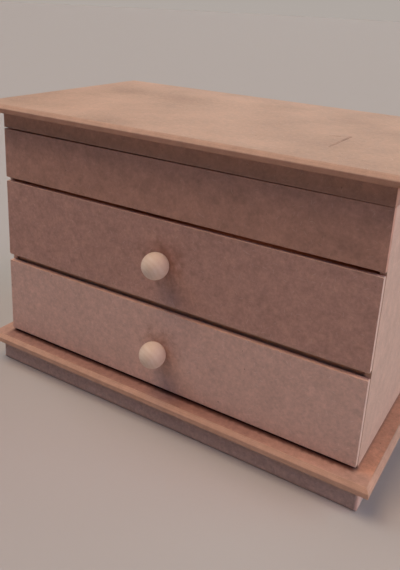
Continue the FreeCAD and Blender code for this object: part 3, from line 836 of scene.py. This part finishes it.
def grown(name, bench, sizes, points, faces=()):
    # Runs the group on a mesh of the given points and faces, and keeps the result as a plain mesh
    seeds = bpy.data.meshes.new(name + "_seeds")
    seeds.from_pydata(points, [], faces)
    bed = link(name + "_bed", seeds)
    modifier = bed.modifiers.new(name, "NODES")
    modifier.node_group = bench.tree
    for socket in bench.tree.interface.items_tree:
        if socket.in_out == "INPUT" and socket.name in sizes:
            modifier[socket.identifier] = sizes[socket.name]
    graph = bpy.context.evaluated_depsgraph_get()
    mesh = bpy.data.meshes.new_from_object(bed.evaluated_get(graph), depsgraph=graph)
    bed.modifiers.clear()
    bpy.data.objects.remove(bed)
    mesh.name = name
    return mesh


def randomValue(bench, low, high, seed):
    return bench.add("FunctionNodeRandomValue", {"data_type": "FLOAT"}, {2: low, 3: high, "Seed": seed}, 1)


# Screws: a slotted head, a threaded shank and a point, along Z with the head's crown at zero
hingeScrew = {
    "Length": 4.3 * mm, "Shank Radius": 0.9 * mm, "Head Radius": 1.6 * mm, "Head Height": 0.8 * mm,
    "Neck": 0.7 * mm, "Crown": 0.06 * mm, "Point": 1.0 * mm, "Slot Width": 0.4 * mm, "Slot Depth": 0.3 * mm,
    "Pitch": 0.55 * mm, "Seed": 7,
}
knobScrew = {
    "Length": 15.2 * mm, "Shank Radius": 1.75 * mm, "Head Radius": 3.6 * mm, "Head Height": 2.2 * mm,
    "Neck": 0.05 * mm, "Crown": 1.1 * mm, "Point": 1.6 * mm, "Slot Width": 0.9 * mm, "Slot Depth": 1.0 * mm,
    "Pitch": 1.2 * mm, "Seed": 3,
}
screwSides = 28
screwCore = 0.8             # the shank between the threads, of the shank's radius
threadMiddle = 0.84         # where the thread's middle line runs, of the shank's radius
threadThick = 0.15          # the thread's own radius, of the shank's radius


def screwGrower(name, sizes, finish):
    bench, source, size = newGrower(name, sizes)
    shank, head, crown = size["Shank Radius"], size["Head Radius"], size["Crown"]
    core = shank * screwCore
    tip = size["Point"] - size["Length"]
    neckLow = -size["Head Height"]
    rim = (head, size["Neck"] - size["Head Height"])
    stations = [(0.0, -size["Length"]), (core, tip), (core, neckLow), rim, (head, -crown)]
    stations += [(head * 0.94, crown * -0.55), (head * 0.78, crown * -0.18), (0.0, crown * -0.02)]
    rounds = []
    for (lowRadius, lowZ), (highRadius, highZ) in zip(stations, stations[1:]):
        ring = bench.add("GeometryNodeMeshCone", {"fill_type": "NONE"}, {
            "Vertices": screwSides, "Radius Top": highRadius, "Radius Bottom": lowRadius,
            "Depth": highZ - lowZ})
        shift = bench.add("ShaderNodeCombineXYZ", None, {"Z": lowZ})
        rounds.append(bench.add("GeometryNodeTransform", None, {"Geometry": ring, "Translation": shift}))
    blank = bench.add("GeometryNodeJoinGeometry", None, {"Geometry": rounds})
    blank = bench.add("GeometryNodeMergeByDistance", None, {"Geometry": blank, "Distance": sameSpot})
    box = bench.add("ShaderNodeCombineXYZ", None, {
        "X": head * 2.4, "Y": size["Slot Width"], "Z": size["Slot Depth"] * 2})
    slot = bench.add("GeometryNodeMeshCube", None, {"Size": box})
    slotted = bench.add("GeometryNodeMeshBoolean", {"operation": "DIFFERENCE"}, {
        "Mesh 1": blank, "Mesh 2": [slot]})
    threaded = neckLow - tip
    helix = bench.add("GeometryNodeCurveSpiral", None, {
        "Resolution": 20, "Rotations": threaded / size["Pitch"], "Start Radius": shank * threadMiddle,
        "End Radius": shank * threadMiddle, "Height": threaded})
    ridge = bench.add("GeometryNodeCurvePrimitiveCircle", None, {
        "Resolution": 3, "Radius": shank * threadThick})
    thread = bench.add("GeometryNodeCurveToMesh", None, {
        "Curve": helix, "Profile Curve": ridge, "Fill Caps": True})
    rise = bench.add("ShaderNodeCombineXYZ", None, {"Z": tip})
    thread = bench.add("GeometryNodeTransform", None, {"Geometry": thread, "Translation": rise})
    screw = bench.add("GeometryNodeJoinGeometry", None, {"Geometry": [slotted, thread]})
    # Turned so that the head faces +Y, each with its slot at another angle
    turn = randomValue(bench, 0.0, math.tau, size["Seed"])
    facing = bench.add("ShaderNodeCombineXYZ", None, {"X": -math.pi / 2, "Y": turn})
    many = bench.add("GeometryNodeInstanceOnPoints", None, {
        "Points": source, "Instance": screw, "Rotation": facing})
    real = bench.add("GeometryNodeRealizeInstances", None, {"Geometry": many})
    done = bench.add("GeometryNodeSetMaterial", None, {"Geometry": real, "Material": finish})
    bench.add("NodeGroupOutput", None, {"Geometry": done})
    return bench


def screwCrowns(nodeName):
    # The middle of each screw's crown: one for each loose part of the node
    shape = bmesh.new()
    shape.from_mesh(nodes[nodeName].data)
    bmesh.ops.remove_doubles(shape, verts=shape.verts, dist=sameSpot)
    left = set(shape.verts)
    crowns = []
    while left:
        found = [left.pop()]
        for corner in found:
            for edge in corner.link_edges:
                other = edge.other_vert(corner)
                if other in left:
                    left.discard(other)
                    found.append(other)
        xs, ys, zs = zip(*[corner.co for corner in found])
        crowns.append(((min(xs) + max(xs)) / 2, max(ys), (min(zs) + max(zs)) / 2))
    shape.free()
    return sorted(crowns)


def driveScrews(nodeName, body, grower, sizes):
    mesh = grown(nodeName + "_slotted", grower, sizes, screwCrowns(nodeName))
    mesh.shade_smooth()
    mesh.set_sharp_from_angle(angle=math.radians(35))
    piece = link(nodeName + "_slotted", mesh)
    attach(piece, body)
    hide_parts(nodeName)


hingeGrower = screwGrower("hingeScrew", hingeScrew, brass)
knobGrower = screwGrower("knobScrew", knobScrew, zinc)
driveScrews("hinge_screws_case", "case", hingeGrower, hingeScrew)
driveScrews("hinge_screws_lid", "lid", hingeGrower, hingeScrew)
for drawerName in ("upper_drawer", "lower_drawer"):
    driveScrews(drawerName + "_knob_screw", drawerName, knobGrower, knobScrew)
print("screws driven")

# Lint: single pale fibres that cling to the upright faces
lint = {"Density": 1500.0, "Length": 3.0 * mm, "Thickness": 0.11 * mm, "Bend": 0.9 * mm, "Seed": 11}
lintMargin = 3 * mm
lintBeds = {
    # body: each node that carries lint, with the axis and the side that its bare face looks to
    "case": [("upper_front_panel", 1, -1), ("side_panel_right", 0, 1), ("side_panel_left", 0, -1)],
    "lid": [("lid_skirt_front", 1, -1), ("lid_skirt_right", 0, 1)],
    "upper_drawer": [("upper_drawer_front", 1, -1)],
    "lower_drawer": [("lower_drawer_front", 1, -1)],
}


def lintFinish():
    material, bench = newMaterial("paleLint")
    spot = bench.add("ShaderNodeTexCoord", None, None, 3)
    tone = bench.noise(spot, 160.0, 2.0)
    colour = bench.mix(tone, (0.45, 0.31, 0.24, 1), (0.82, 0.68, 0.55, 1))
    bench.surface({"Base Color": colour, "Roughness": 0.8, "Specular IOR Level": 0.3})
    return material


def lintGrower(finish):
    bench, source, size = newGrower("lint", lint)
    scatter = bench.add("GeometryNodeDistributePointsOnFaces", None, {
        "Mesh": source, "Density": size["Density"], "Seed": size["Seed"]})
    start = bench.add("ShaderNodeCombineXYZ", None, {"X": size["Length"] * -0.5})
    middle = bench.add("ShaderNodeCombineXYZ", None, {"Y": size["Bend"]})
    end = bench.add("ShaderNodeCombineXYZ", None, {"X": size["Length"] * 0.5, "Y": size["Bend"] * -0.3})
    bow = bench.add("GeometryNodeCurveQuadraticBezier", None, {
        "Resolution": 6, "Start": start, "Middle": middle, "End": end})
    profile = bench.add("GeometryNodeCurvePrimitiveCircle", None, {
        "Resolution": 4, "Radius": size["Thickness"] / 2})
    fibre = bench.add("GeometryNodeCurveToMesh", None, {
        "Curve": bow, "Profile Curve": profile, "Fill Caps": True})
    angle = randomValue(bench, 0.0, math.tau, size["Seed"])
    spin = bench.add("ShaderNodeCombineXYZ", None, {"Z": angle})
    lying = bench.add("FunctionNodeRotateRotation", {"rotation_space": "LOCAL"}, {
        "Rotation": bench.other(scatter, "Rotation"), "Rotate By": spin})
    reach = randomValue(bench, 0.35, 1.1, size["Seed"] + 1.0)
    many = bench.add("GeometryNodeInstanceOnPoints", None, {
        "Points": scatter, "Instance": fibre, "Rotation": lying, "Scale": reach})
    real = bench.add("GeometryNodeRealizeInstances", None, {"Geometry": many})
    done = bench.add("GeometryNodeSetMaterial", None, {"Geometry": real, "Material": finish})
    bench.add("NodeGroupOutput", None, {"Geometry": done})
    return bench


def bareFace(nodeName, axis, side):
    # Four corners of one face of the node's box, a little in from its edges, turned to look outwards
    low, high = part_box(nodeName)
    one, two = [other for other in range(3) if other != axis]
    corners = []
    for atOne, atTwo in ((0, 0), (1, 0), (1, 1), (0, 1)):
        spot = Vector((0, 0, 0))
        spot[axis] = high[axis] if side > 0 else low[axis]
        spot[one] = (low[one] + lintMargin, high[one] - lintMargin)[atOne]
        spot[two] = (low[two] + lintMargin, high[two] - lintMargin)[atTwo]
        corners.append(spot)
    facing = (corners[1] - corners[0]).cross(corners[2] - corners[0])[axis]
    return corners if facing * side > 0 else corners[::-1]


lintTree = lintGrower(lintFinish())
for body, beds in lintBeds.items():
    corners = [corner for bed in beds for corner in bareFace(*bed)]
    faces = [tuple(range(first, first + 4)) for first in range(0, len(corners), 4)]
    piece = link(body + "_lint", grown(body + "_lint", lintTree, lint, corners, faces))
    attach(piece, body)
print("lint settled")
